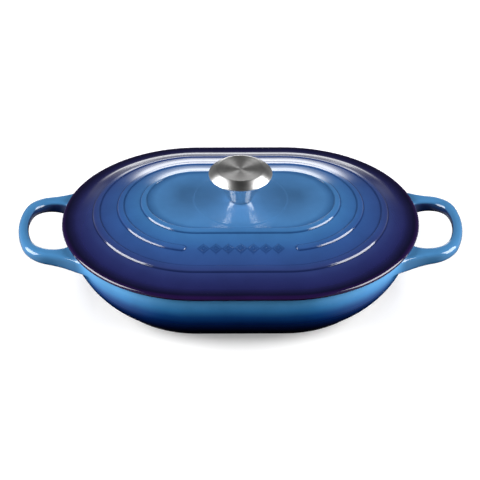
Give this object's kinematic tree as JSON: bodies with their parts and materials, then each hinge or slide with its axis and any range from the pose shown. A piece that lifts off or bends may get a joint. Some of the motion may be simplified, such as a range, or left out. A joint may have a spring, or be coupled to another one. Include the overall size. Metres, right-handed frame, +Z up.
{
  "type": "oblong enamelled cast iron casserole with lid",
  "caption": "Shallow oblong dutch oven: enamelled iron pot with loop handles at both ends and a ribbed, sloping lid lifted by a round steel knob.",
  "frame": {"origin": "centre of the foot, on the surface that the pot stands on", "axes": "+Z up, +X along the two handles, -Y the front, where the middle rib of the lid is open"},
  "size_m": [0.4296, 0.261, 0.1333],
  "materials": {
    "pot_enamel": "gloss vitreous enamel, light blue handles shading to navy at the foot; sand enamel inside",
    "lid_enamel": "gloss vitreous enamel, light blue at the boss shading to navy at the rim",
    "knob_steel": "fine brushed stainless",
    "fastener_steel": "plain stainless"
  },
  "bodies": {
    "pot": {"pot_body": "pot_enamel"},
    "lid": {"lid": "lid_enamel", "knob_cap": "knob_steel", "knob_stem": "knob_steel", "knob_insert": "fastener_steel", "flat_washer": "fastener_steel", "lock_washer": "fastener_steel", "knob_screw": "fastener_steel"}
  },
  "joints": [
    {"name": "lid_lift", "type": "slide", "parent": "pot", "child": "lid", "axis": [0, 0, 1], "range_m": [0, 0.15]}
  ]
}
